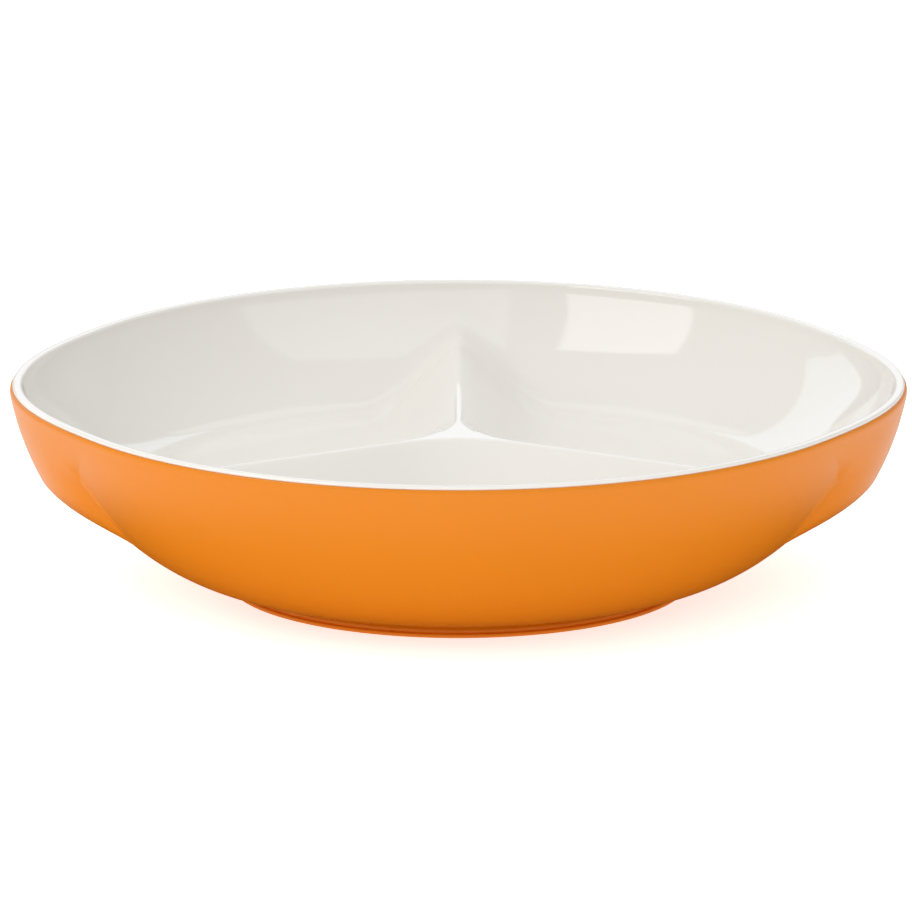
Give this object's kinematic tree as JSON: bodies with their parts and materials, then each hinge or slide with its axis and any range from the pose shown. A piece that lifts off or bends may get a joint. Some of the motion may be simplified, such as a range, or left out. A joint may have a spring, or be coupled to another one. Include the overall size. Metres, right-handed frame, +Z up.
{
  "type": "divided serving bowl",
  "caption": "Round divided serving bowl with blended dividers, a white lipped tray in a flared shell with side grips, and a non-slip foot.",
  "frame": {"origin": "centre of the table face, under the middle of the base ring", "axes": "+Z up; X runs through the two side grips; the single rear divider lies along +Y"},
  "size_m": [0.2204, 0.2132, 0.0505],
  "materials": {
    "tray_white": "high-gloss moulded plastic, warm white",
    "shell_orange": "satin-gloss moulded plastic, orange",
    "bond_clear": "cured adhesive",
    "ring_orange": "soft matt elastomer, orange"
  },
  "bodies": {
    "root": {"inner_tray": "tray_white", "outer_shell": "shell_orange", "rim_bond": "bond_clear", "base_ring": "ring_orange"}
  },
  "joints": []
}
